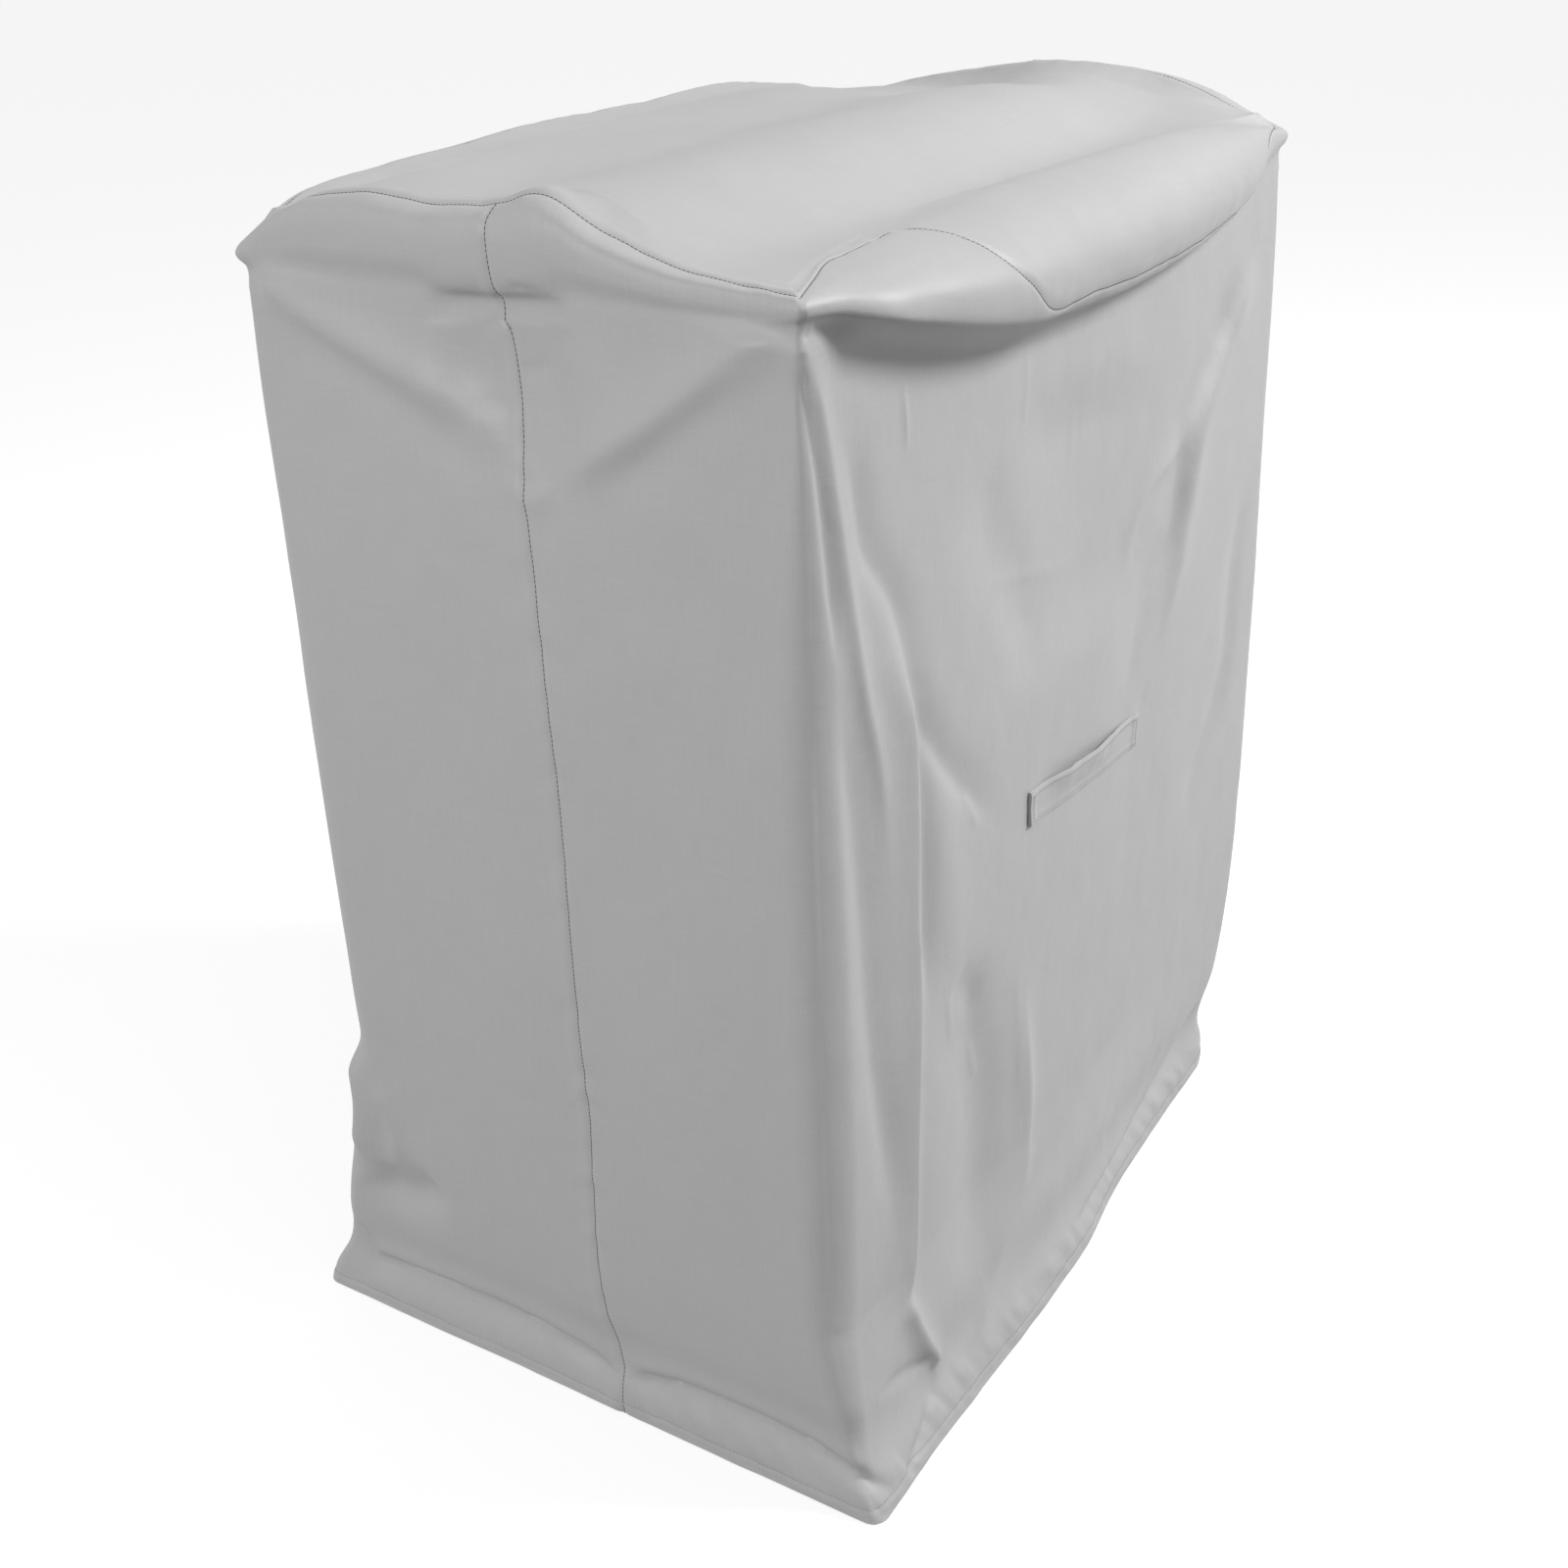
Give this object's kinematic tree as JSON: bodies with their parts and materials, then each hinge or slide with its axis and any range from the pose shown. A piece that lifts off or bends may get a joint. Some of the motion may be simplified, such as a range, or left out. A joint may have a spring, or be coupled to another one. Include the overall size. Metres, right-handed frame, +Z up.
{
  "type": "wood chipper cover",
  "caption": "Fitted grey cloth cover that hangs over a wood chipper in storage, open at the bottom, with seamed ends, a slack domed top and a carry strap on the front.",
  "frame": {"origin": "underside of the top panel at its middle, where the covered machine holds the cover up", "axes": "+Z up, X along the long walls, and the front wall with the carry strap faces -Y"},
  "size_m": [0.9854, 0.7146, 1.2075],
  "materials": {
    "cover_cloth": "slightly shiny coated weave",
    "strap_cloth": "folded coated weave"
  },
  "bodies": {
    "root": {"top_panel": "cover_cloth", "front_wall": "cover_cloth", "back_wall": "cover_cloth", "carry_handle": "strap_cloth"}
  },
  "joints": []
}
